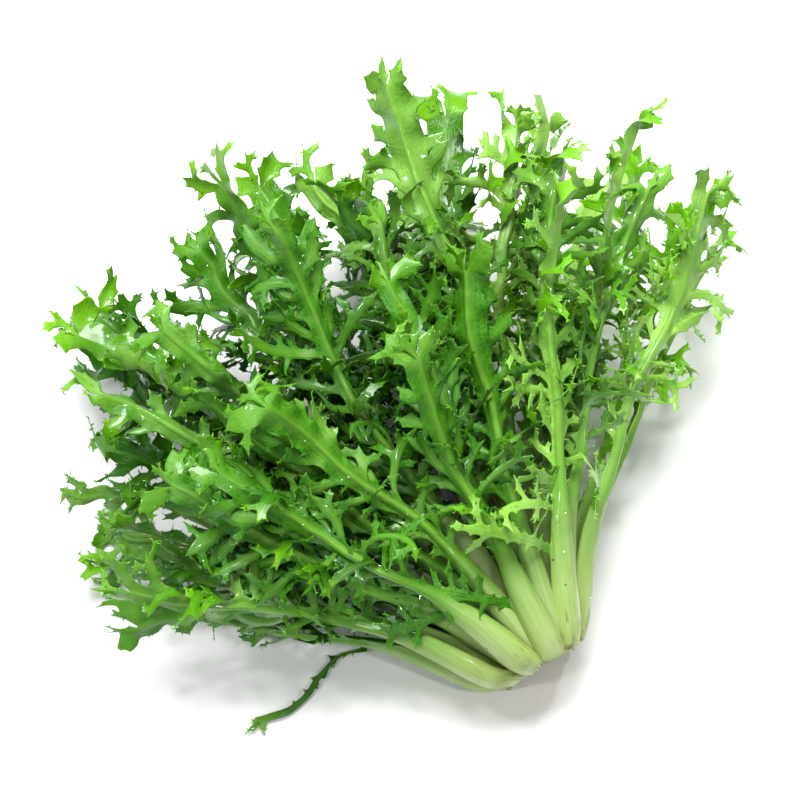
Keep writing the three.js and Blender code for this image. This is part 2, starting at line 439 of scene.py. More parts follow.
def growLobe(sheet, root, ahead, up, length, width, bend, rng, facts, level=1):
    # bend: yaw, pitch and roll per step, in radians
    along, across = facts
    steps = max(2, round(length / lobeShape["step"]))
    step = length / steps
    centre = sheet.middle(root)
    columns = np.linspace(-1, 1, len(root))
    cupping = rng.uniform(*lobeShape["cupping"])
    size = length / lobeShape["fullLength"]
    rows, frames = [root], []

    def addRow(half, thick, far, rib):
        ids = []
        for c in columns:
            place = centre + right * (c * half) + up * (abs(c) * half * cupping)
            middle = 1 - abs(c)
            thickHere = lobeShape["thick"] + thick * middle
            ids.append(sheet.add(place, thickHere, along, far, rib * middle, c * half / mm))
        sheet.bridge(rows[-1], ids)
        rows.append(ids)

    for j in range(1, steps + 1):
        t = j / steps
        yaw, pitch, roll = (b * (0.5 + rng.random()) for b in bend)
        right = ahead.cross(up).normalized()
        ahead = Quaternion(up, yaw) @ Quaternion(right, pitch) @ ahead
        up = Quaternion(ahead, roll) @ right.cross(ahead).normalized()
        ahead.normalize()
        right = ahead.cross(up).normalized()
        centre = centre + ahead * step
        shape = 0.72 + 0.46 * math.sin(math.pi * t ** 1.35) - 0.3 * float(smoothstep(0.75, 1, t))
        half = width / 2 * shape * rng.uniform(0.88, 1.12)
        far = min(1.0, across + 0.75 * t * size)
        addRow(half, lobeShape["rib"] * (1 - t) * min(1, length / (18 * mm)), far, 1 - 0.6 * t)
        frames.append((ahead.copy(), up.copy(), right.copy()))
    if rng.random() < lobeShape["bluntChance"]:
        centre = centre + ahead * (step * 0.32)
        addRow(half * 0.78, 0, 1.0, 0)
        centre = centre + ahead * (step * 0.3)
        addRow(half * 0.32, 0, 1.0, 0)
    else:
        growTooth(sheet, rows[-1], ahead, step * rng.uniform(0.6, 1.3), along, across + 0.7)

    # fingers and teeth along the lobe's two margins
    busy = set()
    low, high = lobeShape["fingerLength"]
    shortest, longest = lobeShape["toothLength"]
    for j in range(1, steps):
        for side in (-1, 1):
            if (j, side) in busy:
                continue
            chance = rng.random()
            ahead, up, right = frames[j]
            edge = sheet.margin(rows, j, 1, side)
            lean = (ahead * rng.uniform(0.4, 1.0) + right * side).normalized()
            far = min(1.0, across + 0.75 * j / steps)
            forks = level <= 1 and length > lobeShape["forkFrom"] and 0.2 < j / steps < 0.9
            if forks and chance < lobeShape["forkChance"]:
                fingerLength = rng.uniform(low, high) * min(1.25, 0.25 + size)
                turning = (-side * 0.12, rng.uniform(-0.25, 0.35), rng.uniform(-0.2, 0.2))
                rootFacts = (along, far)
                growLobe(sheet, edge, lean, up, fingerLength, step * 0.85, turning, rng, rootFacts, level + 1)
                busy.update({(j + 1, side), (j, -side)})
            elif chance < lobeShape["forkChance"] + lobeShape["toothChance"] * 0.5:
                tooth = shortest + (longest - shortest) * rng.random() ** 1.6
                growTooth(sheet, edge, lean, tooth, along, far)
                busy.add((j + 1, side))


leafShape = {
    "stalkStep": 6.0 * mm,
    "bladeStep": 2.55 * mm,
    "tipRoom": 14 * mm,  # the strap stops short of the leaf's end, for the fingers on it
    "stalkWiden": 1.28,  # stalks press against their neighbours near the cut
    "stalkRound": 2.8 * mm,
    "neckHalf": 2.9 * mm,
    "bladeHalf": 6.0 * mm,
    "bladeFrom": 0.52,
    "rib": [  # share along the leaf, half width, thickness
        (0.0, 4.2 * mm, 5.4 * mm), (0.3, 2.7 * mm, 3.8 * mm),
        (0.6, 1.8 * mm, 2.3 * mm), (1.0, 0.6 * mm, 0.6 * mm)],
    "edgeThick": (1.2 * mm, 0.42 * mm),  # of the stalk, and of the blade
    "fold": (0.1, 0.6),
    "wiggle": 5.0 * mm,
    "frill": 2.0 * mm,
    "frillLength": 15 * mm,
    "pucker": 0.45 * mm,
    "curlOut": 18,  # mm, at the tip
    "lastGap": 2.5 * mm,
    "thinFrom": 0.45,  # only this far along does a thin leaf begin
    "thinSize": 0.25,  # of a thin leaf's waves and curl, beside a full one's
}
courseSteps = 400  # for measuring along a midrib

# per kind of leaf: where the lobes start, their longest, the gap between them in rows, curl, twist,
# the share of lobes that arch over the midrib, and the slot that the finish comes from
kindWords = ("start", "lobe", "gap", "curl", "twist", "over", "slot")
leafKinds = {
    "outer_leaf": (0.36, 34 * mm, 3, 0.10, 0.7, 0.14, "outer_leaf"),
    "second_leaf": (0.35, 34 * mm, 3, 0.11, 0.8, 0.14, "outer_leaf"),
    "middle_leaf": (0.33, 32 * mm, 3, 0.13, 0.9, 0.14, "inner_leaf"),
    "inner_leaf": (0.31, 32 * mm, 2, 0.14, 0.9, 0.11, "inner_leaf"),
    "young_leaf": (0.31, 30 * mm, 2, 0.14, 0.8, 0.11, "young_leaf"),
    "heart_leaf": (0.31, 30 * mm, 2, 0.15, 0.8, 0.11, "young_leaf"),
    "trailing_leaf": (0.5, 6 * mm, 3, 0.15, 0.8, 0, "outer_leaf"),
}
thinLobe = 10 * mm  # a kind whose longest lobe is under this is a thin leaf

# leaf styles: lobe length, blade width, rows added between lobes
leafStyles = {"feathered": (1.0, 1.0, 0), "wedge": (0.55, 1.4, 2), "ribbon": (0.3, 0.9, 5)}
styleChances = {"feathered": 0.58, "wedge": 0.27, "ribbon": 0.15}
setStyles = {
    "feathered": (
        "inner_leaf_05", "outer_leaf_03", "outer_leaf_04", "outer_leaf_06", "second_leaf_02",
        "second_leaf_03", "second_leaf_04", "second_leaf_06"),
    "wedge": ("heart_leaf_04", "inner_leaf_01", "middle_leaf_03", "young_leaf_03"),
}
styleOf = {name: style for style, names in setStyles.items() for name in names}

# how much of its length a leaf keeps, and how many mm its end leans to the right and ahead
leafEnds = {
    "heart_leaf_01": (0.82, 0, 0), "heart_leaf_02": (0.85, -30, 0), "heart_leaf_03": (0.94, -4, 4),
    "heart_leaf_04": (1, 14, 28), "inner_leaf_01": (1, -20, 6), "inner_leaf_02": (0.9, 0, 0),
    "inner_leaf_03": (0.9, -6, 0), "inner_leaf_04": (0.86, 0, 0), "inner_leaf_05": (1, -4, 8),
    "inner_leaf_06": (0.95, 0, 8), "inner_leaf_07": (0.92, -2, 16), "inner_leaf_08": (1, 12, 8),
    "middle_leaf_02": (0.95, -6, 0), "middle_leaf_03": (0.97, -1, 18), "middle_leaf_06": (1, 4, 18),
    "middle_leaf_07": (0.96, -3, 26), "outer_leaf_03": (0.97, 3, 0), "outer_leaf_04": (0.94, 6, 0),
    "outer_leaf_06": (1, 3, 5), "outer_leaf_07": (0.86, 0, 6), "outer_leaf_08": (0.97, 2, 5),
    "second_leaf_02": (1, 9, 5), "second_leaf_07": (0.95, 0, 0), "young_leaf_01": (0.74, 8, 0),
    "young_leaf_02": (0.93, 15, 0), "young_leaf_03": (0.9, 14, 0), "young_leaf_04": (1, 23, 30),
    "young_leaf_05": (0.98, 0, 5), "young_leaf_06": (0.95, 0, -4),
}
leanRight = np.array([0.84, -0.54, 0])
leanAhead = np.array([0.54, 0.84, 0])
strandBow = (10 * mm, -7 * mm)  # the thin leaf's arch, to the right and ahead
# mm that a stalk or a blade bows outward
stalkBow = {"outer_leaf_07": 2, "outer_leaf_08": 6, "outer_leaf_09": 6, "outer_leaf_10": 3}
bladeBow = {"outer_leaf_03": 4, "outer_leaf_04": 6, "second_leaf_03": 3}


def waves(rng, length, count=3):
    # a smooth wandering value along a leaf, between about -1 and 1
    parts = [
        (rng.uniform(0.5, 1) / (k + 1), (k + 1) * rng.uniform(0.6, 1.1), rng.uniform(0, 6.28))
        for k in range(count)]

    def wave(s):
        sines = (size * np.sin(2 * math.pi * turns * s / length + start) for size, turns, start in parts)
        return sum(sines) / 1.4

    return wave


def leafStrap(sheet, name, rings, kind, style, rng):
    shape = leafShape
    thin = kind["lobe"] < thinLobe
    ribMiddle = (rings[:, 3] + rings[:, 4]) / 2
    middles = (rings[:, 1] + ribMiddle) / 2
    course = np.linspace(0, len(rings) - 1, courseSteps)
    dense = spline(middles, course)
    walked = np.concatenate([[0], np.cumsum(np.linalg.norm(np.diff(dense, axis=0), axis=1))])
    length = walked[-1]
    kept, right, onward = leafEnds.get(name, (1, 0, 0))
    end = length * kept - (3 * mm if thin else shape["tipRoom"] * rng.uniform(0.5, 1.2))
    stations = [shape["thinFrom"] * length if thin else 0.0]
    while stations[-1] < end - shape["lastGap"]:
        inBlade = stations[-1] / length > kind["start"] - 0.1
        stations.append(stations[-1] + (shape["bladeStep"] if inBlade else shape["stalkStep"]))
    stations[-1] = end
    s = np.array(stations)
    share = s / length
    at = np.interp(s, walked, course)

    centres = spline(middles, at)
    heading = unit(spline(middles, at + 0.15) - spline(middles, at - 0.15))
    sideways = unit(spline(rings[:, 2] - rings[:, 0], at))
    sideways = unit(sideways - heading * (sideways * heading).sum(1, keepdims=True))
    outward = unit(np.cross(heading, sideways))
    if (outward[0] * (ribMiddle[0] - rings[0, 1])).sum() < 0:
        outward = -outward
    free = smoothstep(0.2, 0.6, share)
    size = shape["thinSize"] if thin else 1.0
    wander = np.stack([waves(rng, length)(s), waves(rng, length)(s)]) * free * shape["wiggle"] * size
    centres = centres + wander[0][:, None] * sideways + wander[1][:, None] * outward
    leaning = smoothstep(0.3, 1, share) ** 1.4
    centres = centres + leaning[:, None] * (right * mm * leanRight + onward * mm * leanAhead)
    bow = stalkBow.get(name, 0) * mm * smoothstep(0, 0.07, share) * (1 - smoothstep(0.1, 0.4, share))
    bow += bladeBow.get(name, 0) * mm * smoothstep(0.2, 0.45, share) * (1 - smoothstep(0.7, 1, share))
    centres = centres + outward * bow[:, None]
    if thin:
        partWay = (share - shape["thinFrom"]) / (1 - shape["thinFrom"])
        arch = np.sin(math.pi * np.clip(partWay, 0, 1))[:, None]
        centres = centres + arch * (strandBow[0] * leanRight + strandBow[1] * leanAhead)
    curlOut = rng.uniform(-0.4, 1.0) * shape["curlOut"] * mm * size
    centres = centres + outward * (curlOut * smoothstep(0.7, 1.0, share) ** 2)[:, None]
    endRoll = rng.uniform(-1, 1) * smoothstep(0.3, 1, share)
    roll = kind["twist"] * (waves(rng, length, 2)(s) * free + endRoll)
    turned = sideways * np.cos(roll)[:, None] + outward * np.sin(roll)[:, None]
    outward = outward * np.cos(roll)[:, None] - sideways * np.sin(roll)[:, None]
    sideways = turned

    edges = [np.linalg.norm(rings[:, k] - middles, axis=1) for k in (0, 2)]
    stalkHalf = min(edges[0][0], edges[1][0]) * shape["stalkWiden"]
    cadThick = spline(np.linalg.norm(ribMiddle - rings[:, 1], axis=1), at)
    sag = -(spline((rings[:, 0] + rings[:, 2]) / 2 - middles, at) * outward).sum(1)
    inStalk = 1 - smoothstep(kind["start"] - 0.12, kind["start"] + 0.06, share)
    widened = smoothstep(shape["bladeFrom"], 0.9, share)
    fullHalf = shape["bladeHalf"] * style[1] * rng.uniform(0.75, 1.15)
    bladeHalf = shape["neckHalf"] + (fullHalf - shape["neckHalf"]) * widened
    bladeHalf = bladeHalf * (1 - 0.3 * smoothstep(0.93, 1, share))
    half = bladeHalf + np.maximum(stalkHalf - bladeHalf, 0) * (1 - smoothstep(0.08, 0.42, share))
    if thin:
        half = 0.7 * mm + 1.3 * mm * smoothstep(0.6, 0.9, share)
    ribShares, ribHalves, ribThicks = zip(*shape["rib"])
    ribHalf = np.minimum(np.interp(share, ribShares, ribHalves), half * 0.66)
    ribThick = np.minimum(np.interp(share, ribShares, ribThicks), np.maximum(cadThick * 1.4, 1.2 * mm))
    if thin:
        ribHalf, ribThick = half * 0.4, half * 0.4 + 0.4 * mm
    edgeThick = shape["edgeThick"][0] * inStalk + shape["edgeThick"][1] * (1 - inStalk)
    fold = rng.uniform(*shape["fold"])
    frillPhase = rng.uniform(0, 6.28, 2)
    frillTurns = rng.uniform(0.8, 1.25, 2) * 2 * math.pi / shape["frillLength"]

    rows = []
    for i in range(len(s)):
        w, r, stalk = half[i], ribHalf[i], inStalk[i]
        offsets = [-w, -(w + r) / 2, -r, -r * 0.6, 0, r * 0.6, r, (w + r) / 2, w]
        ids = []
        for offset in offsets:
            part = abs(offset) / w
            which = 0 if offset < 0 else 1
            frill = math.sin(frillTurns[which] * s[i] + frillPhase[which])
            cup = stalk * (sag[i] + shape["stalkRound"]) * part ** 2
            ruffle = shape["frill"] * size * widened[i] * part ** 2 * frill
            cup += (1 - stalk) * (fold * max(0, abs(offset) - r * 0.5) + ruffle)
            lens = math.cos(part * math.pi / 2) ** 0.8
            cord = math.sqrt(max(0.0, 1 - (offset / r) ** 2)) if abs(offset) < r else 0.0
            bulk = stalk * lens + (1 - stalk) * cord
            thick = edgeThick[i] + (ribThick[i] - edgeThick[i]) * bulk
            inner = centres[i] - outward[i] * (ribThick[i] / 2 + cup)
            rib = (1 - stalk) * (1.0 if abs(offset) < r * 0.8 else 0.55 if abs(offset) <= r else 0.0)
            across = part * 0.22 * (1 - stalk) * float(widened[i] * 0.7 + 0.3)
            ids.append(sheet.add(inner + sideways[i] * offset, thick, share[i], across, rib, offset / mm))
        if rows:
            sheet.bridge(rows[-1], ids)
        rows.append(ids)
    axes = [(Vector(h), Vector(-o), Vector(r)) for h, o, r in zip(heading, outward, sideways)]
    return rows, axes, share


# long lobes low on a leaf: share along it, which way (-1 left), mm long, lift off the head, heading onward
strayLobes = {
    "outer_leaf_01": [(0.2, -1, 46, 0.5, 0.9)],
    "outer_leaf_02": [(0.2, -1, 60, 0.6, 0.4), (0.3, -1, 40, 0.6, 0.4)],
    "outer_leaf_03": [(0.27, -1, 44, 0.8, 0.4)],
    "outer_leaf_04": [(0.25, 1, 12, 0.2, 0.2), (0.42, 1, 8, 0.1, 0.9), (0.5, 1, 9, 0, 0.9)],
    "outer_leaf_10": [(0.27, -1, 30, 0.4, 0.6)],
    "second_leaf_02": [(0.3, -1, 34, 0.6, 0.5)],
}
strayWidth = 4.4 * mm

# leaves under the others, by how much lower their lobes start
lowStart = {
    "heart_leaf_02": 0.1, "heart_leaf_03": 0.1, "inner_leaf_04": 0.12, "inner_leaf_05": 0.1,
    "inner_leaf_06": 0.1, "middle_leaf_04": 0.12, "middle_leaf_05": 0.14, "middle_leaf_06": 0.12,
    "outer_leaf_05": 0.1, "outer_leaf_06": 0.12, "outer_leaf_07": 0.1, "second_leaf_05": 0.14,
    "second_leaf_06": 0.12, "second_leaf_07": 0.1,
}
# leaves whose lobes are longer or shorter than their kind's
lobeGain = {
    "heart_leaf_03": 1.3, "heart_leaf_04": 1.3, "inner_leaf_05": 1.2, "inner_leaf_06": 1.25,
    "inner_leaf_08": 1.2, "middle_leaf_05": 1.2, "middle_leaf_06": 1.25, "middle_leaf_07": 1.25,
    "outer_leaf_02": 1.15, "outer_leaf_05": 1.2, "outer_leaf_06": 1.3, "outer_leaf_07": 0.9,
    "outer_leaf_08": 0.5, "outer_leaf_09": 0.7, "second_leaf_02": 1.15, "second_leaf_03": 1.15,
    "second_leaf_06": 1.25, "second_leaf_08": 0.8, "young_leaf_03": 1.2, "young_leaf_04": 1.2,
    "young_leaf_06": 1.2,
}

growth = {
    "shortestLobe": 5 * mm,  # anything shorter is a tooth
    "lobeSpread": (0.45, 1.2),
    "sweep": (38, 68),  # degrees that a lobe points ahead of straight out
    "lift": (0.15, 0.42),  # middle and spread of how far a lobe leaves the blade's plane
    "arch": (0.12, 0.26),  # pitch per step of a lobe that crosses the midrib
    "endFingers": (8, 17),  # mm
    "endSpread": 0.65,
}


def growLeaf(name, kind, seed):
    rng = np.random.default_rng(seed)
    rings = cadRings(name)
    sheet = Sheet()
    drawn = rng.choice(list(styleChances), p=list(styleChances.values()))
    style = leafStyles[styleOf.get(name, drawn)]
    rows, axes, share = leafStrap(sheet, name, rings, kind, style, rng)
    # leaves are finer, curlier and paler to the right of the head
    fine = float(smoothstep(-0.01, 0.12, rings[len(rings) * 2 // 3, :, 0].mean()))
    curl = kind["curl"] * (0.9 + fine)
    narrow, broad = lobeShape["width"]
    strays = []
    for far, way, size, lift, onward in strayLobes.get(name, []):
        place = min(range(len(share)), key=lambda i: abs(share[i] - far))
        strays.append((place, 1 if axes[place][2].x * way > 0 else -1, size * mm, lift, onward))
    for side in (-1, 1):
        j = next(i for i, far in enumerate(share) if far > kind["start"] - 0.12) + (0 if side < 0 else 2)
        for place, where, size, lift, onward in strays:
            if where == side:
                root = sheet.margin(rows, place, 1, side)
                ahead, up, right = axes[place]
                away = (right * side + ahead * onward - up * lift).normalized()
                lobeUp = (up - away * up.dot(away)).normalized()
                bend = (side * rng.uniform(-0.05, 0.02), 0.06, rng.normal(0, 0.05))
                growLobe(sheet, root, away, lobeUp, size, strayWidth, bend, rng, (0.6, 0.1))
                j = max(j, place + 2)
        while j < len(rows) - 4:
            far = share[j]
            grown = 0.06 + 0.94 * float(smoothstep(kind["start"] - 0.06, 0.55, far))
            grown *= 1 - 0.58 * float(smoothstep(0.62, 1, far))
            styled = float(smoothstep(0.45, 0.7, far))
            gain = 1 + (style[0] - 1) * styled
            lobeLength = kind["lobe"] * grown * rng.uniform(*growth["lobeSpread"])
            lobeLength *= 1 - 0.15 * fine
            lobeLength = lobeLength * gain * lobeGain.get(name, 1)
            ahead, up, right = axes[j + 1]
            if lobeLength > growth["shortestLobe"]:
                root = sheet.margin(rows, j, 2, side)
                sweep = math.radians(rng.uniform(*growth["sweep"]) - 10 * far - 8 * fine)
                away = (right * side * math.cos(sweep) + ahead * math.sin(sweep)).normalized()
                away = (away + up * rng.normal(*growth["lift"])).normalized()
                lobeUp = (up - away * up.dot(away)).normalized()
                bend = (side * rng.normal(0.02, 0.10), rng.normal(0.04, curl), rng.normal(0, 0.15))
                if far > 0.42 and rng.random() < kind["over"]:
                    # this lobe rises and arches over the midrib
                    skyward = 1 if up.z > 0 else -1
                    away = (right * side * 0.45 + ahead * 0.75 + up * skyward * 0.6).normalized()
                    lobeUp = right * (-side * skyward)
                    lobeUp = (lobeUp - away * lobeUp.dot(away)).normalized()
                    bend = (rng.normal(0, 0.08), skyward * rng.uniform(*growth["arch"]), rng.normal(0, 0.12))
                width = narrow + (broad - narrow) * float(smoothstep(0.5, 0.85, far))
                width = width * rng.uniform(0.75, 1.2) * (1 - 0.25 * fine)
                growLobe(sheet, root, away, lobeUp, lobeLength, width, bend, rng, (far, 0.15))
                j += 2 + int(rng.integers(1, kind["gap"] + 1 + round(style[2] * styled)))
            else:
                if rng.random() < 0.5:
                    edge = sheet.margin(rows, j, 1, side)
                    away = (right * side + ahead * 0.7).normalized()
                    growTooth(sheet, edge, away, lobeLength * 0.8 + 0.8 * mm, far, 0.2)
                j += 1 + int(rng.integers(1, 3))
    # fingers on the end of the leaf
    ahead, up, right = axes[-1]
    shorter = 0.4 if kind["lobe"] < thinLobe else 1
    spread = growth["endSpread"]
    for first, last, turn in ((0, 3, spread), (3, 5, 0.0), (5, 8, -spread)):
        ids = rows[-1][first:last + 1]
        away = (Quaternion(up, turn + rng.normal(0, 0.15)) @ ahead).normalized()
        fingerLength = rng.uniform(*growth["endFingers"]) * mm * shorter
        bend = (rng.normal(0, 0.1), rng.normal(0.03, curl * 1.5), rng.normal(0, 0.15))
        width = max((sheet.places[ids[0]] - sheet.places[ids[-1]]).length, 2.2 * mm) * 1.2
        growLobe(sheet, ids, away, up, fingerLength, width, bend, rng, (1.0, 0.3))
    tone = (0.5 + 0.2 * fine) * float(smoothstep(0.3, 0.95, rng.random())) + 0.95 * fine
    return sheet, tone


# the floor and the top limit push leaves back softly, over these heights
floorGap = 0.5 * mm
floorSoft = 3.0 * mm
topSoft = 10 * mm
topLimit = cadBox[1].z + 6 * mm
lowest = 0.1 * mm
puckerTurns = np.array([[610.0, 270, -350], [-190, 700, 310], [330, -280, 590]])  # radians per metre


def solidLeaf(name, sheet, tone):
    # gives the sheet its two faces and the rim between them
    inner = np.array([tuple(p) for p in sheet.places])
    thick, along, across, rib, offset = np.array(sheet.facts).T
    low = floorSoft + thick
    inner[:, 2] = np.where(inner[:, 2] < low, thick + floorGap + (floorSoft - floorGap) * np.exp(
        (inner[:, 2] - low) / (floorSoft - floorGap)), inner[:, 2])
    over = np.maximum(inner[:, 2] - topLimit + topSoft, 0)
    inner[:, 2] += topSoft * (1 - np.exp(-over / topSoft)) - over
    normals = np.zeros_like(inner)
    edges = {}  # keeps the order they are met in, so the rim's faces always come in the same order
    for face in sheet.faces:
        a, b, c = inner[face[0]], inner[face[1]], inner[face[2]]
        d = inner[face[3]] if len(face) > 3 else a
        flat = np.cross(c - a, d - b) if len(face) > 3 else np.cross(b - a, c - a)
        normals[list(face)] += flat
        for v, w in zip(face, face[1:] + face[:1]):
            edges[(v, w)] = None
    normals = unit(normals)
    turns = inner @ puckerTurns
    pucker = np.sin(turns[:, 0]) * np.sin(turns[:, 1]) + 0.6 * np.sin(turns[:, 2] * 1.6)
    pucker = pucker * leafShape["pucker"] * smoothstep(0.3, 0.5, along) * (1 - rib * 0.7)
    inner += normals * np.where(inner[:, 2] > 6 * mm, pucker, 0)[:, None]
    outer = inner - normals * thick[:, None]
    count = len(inner)
    faces = list(sheet.faces)
    faces += [tuple(v + count for v in reversed(face)) for face in sheet.faces]
    rim = [edge for edge in edges if (edge[1], edge[0]) not in edges]
    faces += [(w, v, v + count, w + count) for v, w in rim]
    onRim = np.zeros(count)
    onRim[[v for edge in rim for v in edge]] = 1

    mesh = bpy.data.meshes.new(name)
    mesh.from_pydata(np.vstack([inner, outer]).tolist(), [], faces)
    attributes = {
        "along": np.tile(along, 2), "across": np.tile(across, 2), "rib": np.tile(rib, 2),
        "under": np.repeat([0.0, 1.0], count), "rim": np.tile(onRim, 2), "tone": np.full(2 * count, tone),
        "offset": np.tile(offset, 2),
    }
    for key, values in attributes.items():
        mesh.attributes.new(key, "FLOAT", "POINT").data.foreach_set("value", values.astype(np.float32))
    crease = np.zeros(2 * count, np.float32)
    for v in sheet.sharp:
        crease[[v, v + count]] = lobeShape["toothCrease"]
    mesh.attributes.new("crease_vert", "FLOAT", "POINT").data.foreach_set("value", crease)
    mesh.polygons.foreach_set("use_smooth", [True] * len(mesh.polygons))
    mesh.update()
    return mesh


# what repeats over a leaf: prickles on its margin and drops of water

dressing = {
    "Prickle share": 0.05,
    "Prickle length": 1.5 * mm,
    "Prickle width": 0.4 * mm,
    "Drop density": 7000.0,
    "Drop size": 0.55 * mm,
    "Wet threshold": 0.58,
}


def dressingTree(drop):
    tree = bpy.data.node_groups.new("leafDressing", "GeometryNodeTree")
    tree.interface.new_socket(name="Leaf", in_out="INPUT", socket_type="NodeSocketGeometry")
    for name in dressing:
        tree.interface.new_socket(name=name, in_out="INPUT", socket_type="NodeSocketFloat")
    tree.interface.new_socket(name="Seed", in_out="INPUT", socket_type="NodeSocketInt")
    tree.interface.new_socket(name="Leaf material", in_out="INPUT", socket_type="NodeSocketMaterial")
    tree.interface.new_socket(name="Leaf", in_out="OUTPUT", socket_type="NodeSocketGeometry")
    made = Nodes(tree)
    given = made.add("NodeGroupInput").outputs
    normal = made.add("GeometryNodeInputNormal").outputs[0]
    rim = made.add("GeometryNodeInputNamedAttribute", {"data_type": "FLOAT"}, {"Name": "rim"}).outputs[0]
    along = made.add("GeometryNodeInputNamedAttribute", {"data_type": "FLOAT"}, {"Name": "along"}).outputs[0]

    def compare(value, limit, operation="GREATER_THAN"):
        settings = {"data_type": "FLOAT", "operation": operation}
        return made.add("FunctionNodeCompare", settings, {0: value, 1: limit}).outputs[0]

    def both(first, second):
        return made.add("FunctionNodeBooleanMath", {"operation": "AND"}, {0: first, 1: second}).outputs[0]

    def random(low, high, seed):
        shifted = made.add("ShaderNodeMath", {"operation": "ADD"}, {0: given["Seed"], 1: seed}).outputs[0]
        sockets = {2: low, 3: high, "Seed": shifted}
        return made.add("FunctionNodeRandomValue", {"data_type": "FLOAT"}, sockets).outputs[1]

    # prickles stand on the rim, leaning out of the leaf's edge
    onRim = both(compare(rim, 0.95), compare(along, 0.3))
    chosen = both(onRim, compare(random(0.0, 1.0, 1.0), given["Prickle share"], "LESS_THAN"))
    cone = made.add("GeometryNodeMeshCone", {"fill_type": "NGON"}, {
        "Vertices": 4, "Radius Top": 0.02 * mm, "Radius Bottom": given["Prickle width"],
        "Depth": given["Prickle length"]})
    outOf = made.add("FunctionNodeAlignRotationToVector", {"axis": "Z"}, {"Vector": normal}).outputs[0]
    prickles = made.add("GeometryNodeInstanceOnPoints", sockets={
        "Points": given["Leaf"], "Selection": chosen, "Instance": cone.outputs["Mesh"],
        "Rotation": outOf, "Scale": random(0.5, 1.4, 2.0)})
    prickleMesh = made.add("GeometryNodeRealizeInstances", sockets={"Geometry": prickles.outputs[0]})
    prickleMesh = made.add("GeometryNodeSetMaterial", sockets={
        "Geometry": prickleMesh.outputs[0], "Material": given["Leaf material"]})

    # drops sit on what faces up
    height = made.add("ShaderNodeSeparateXYZ", sockets={0: normal}).outputs["Z"]
    facesUp = both(compare(height, 0.35), compare(rim, 0.3, "LESS_THAN"))
    damp = made.add("ShaderNodeTexNoise", sockets={"Scale": 26.0, "Detail": 1.0})
    facesUp = both(facesUp, compare(damp.outputs[0], given["Wet threshold"]))
    spots = made.add("GeometryNodeDistributePointsOnFaces", sockets={
        "Mesh": given["Leaf"], "Selection": facesUp, "Density": given["Drop density"], "Seed": given["Seed"]})
    ball = made.add("GeometryNodeMeshUVSphere", sockets={
        "Segments": 7, "Rings": 5, "Radius": given["Drop size"]})
    flat = made.add("GeometryNodeTransform", sockets={"Geometry": ball.outputs["Mesh"], "Scale": (1, 1, 0.6)})
    smooth = made.add("GeometryNodeSetShadeSmooth", sockets={"Geometry": flat.outputs[0]})
    sizes = made.add("ShaderNodeMath", {"operation": "POWER"}, {0: random(0.45, 1.0, 3.0), 1: 2.0}).outputs[0]
    drops = made.add("GeometryNodeInstanceOnPoints", sockets={
        "Points": spots.outputs["Points"], "Instance": smooth.outputs[0],
        "Rotation": spots.outputs["Rotation"], "Scale": sizes})
    dropMesh = made.add("GeometryNodeRealizeInstances", sockets={"Geometry": drops.outputs[0]})
    dropMesh = made.add("GeometryNodeSetMaterial", sockets={
        "Geometry": dropMesh.outputs[0], "Material": drop})

    whole = made.add("GeometryNodeJoinGeometry")
    for part in (dropMesh, prickleMesh):
        tree.links.new(part.outputs[0], whole.inputs[0])
    tree.links.new(given["Leaf"], whole.inputs[0])
    made.add("NodeGroupOutput", sockets={0: whole.outputs[0]})
    return tree


def dressed(piece, tree, material, seed, wetness):
    subdivide = piece.modifiers.new("smooth", "SUBSURF")
    subdivide.levels = subdivide.render_levels = 1
    modifier = piece.modifiers.new("dressing", "NODES")
    modifier.node_group = tree
    given = {**dressing, "Seed": seed, "Leaf material": material}
    given["Drop density"] *= wetness
    for item in tree.interface.items_tree:
        if item.in_out == "INPUT" and item.name in given:
            modifier[item.identifier] = given[item.name]
    bpy.context.view_layer.update()
    shown = piece.evaluated_get(bpy.context.evaluated_depsgraph_get())
    mesh = bpy.data.meshes.new_from_object(shown)
    places = np.empty(3 * len(mesh.vertices), np.float32)
    mesh.vertices.foreach_get("co", places)
    places[2::3] = np.maximum(places[2::3], lowest)
    mesh.vertices.foreach_set("co", places)
    rough = piece.data
    piece.modifiers.clear()
    piece.data = mesh
    mesh.name = piece.name
    bpy.data.meshes.remove(rough)


def ownName(node):
    # outer_leaf_01 becomes outerLeaf01
    words = node.split("_")
    return words[0] + "".join(word.capitalize() for word in words[1:])


drop = dropMaterial()
tree = dressingTree(drop)
# the last number is how strongly painted shade darkens the leaf deep inside the head
leafMaterials = {
    "outer_leaf": leafMaterial("outerLeafSkin", 0.0, 0.0),
    "inner_leaf": leafMaterial("innerLeafSkin", 0.06, 0.5),
    "young_leaf": leafMaterial("youngLeafSkin", 0.12, 0.6),
}
leafNames = sorted(name for name in nodes if "leaf" in name)
firstSeed = 100
triangles = 0
for number, name in enumerate(leafNames):
    kind = dict(zip(kindWords, leafKinds[name.rstrip("0123456789").rstrip("_")]))
    kind["start"] -= lowStart.get(name, 0)
    sheet, tone = growLeaf(name, kind, firstSeed + number)
    mesh = solidLeaf(ownName(name), sheet, tone)
    material = leafMaterials[kind["slot"]]
    mesh.materials.append(material)
    piece = bpy.data.objects.new(ownName(name), mesh)
    bpy.context.scene.collection.objects.link(piece)
    dressed(piece, tree, material, number, 0.0 if kind["lobe"] < thinLobe else 1.0)
    piece.data.calc_loop_triangles()
    triangles += len(piece.data.loop_triangles)
    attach(piece, "root")
    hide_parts(name)
print("leaves grown,", triangles, "triangles")


# the cut stem

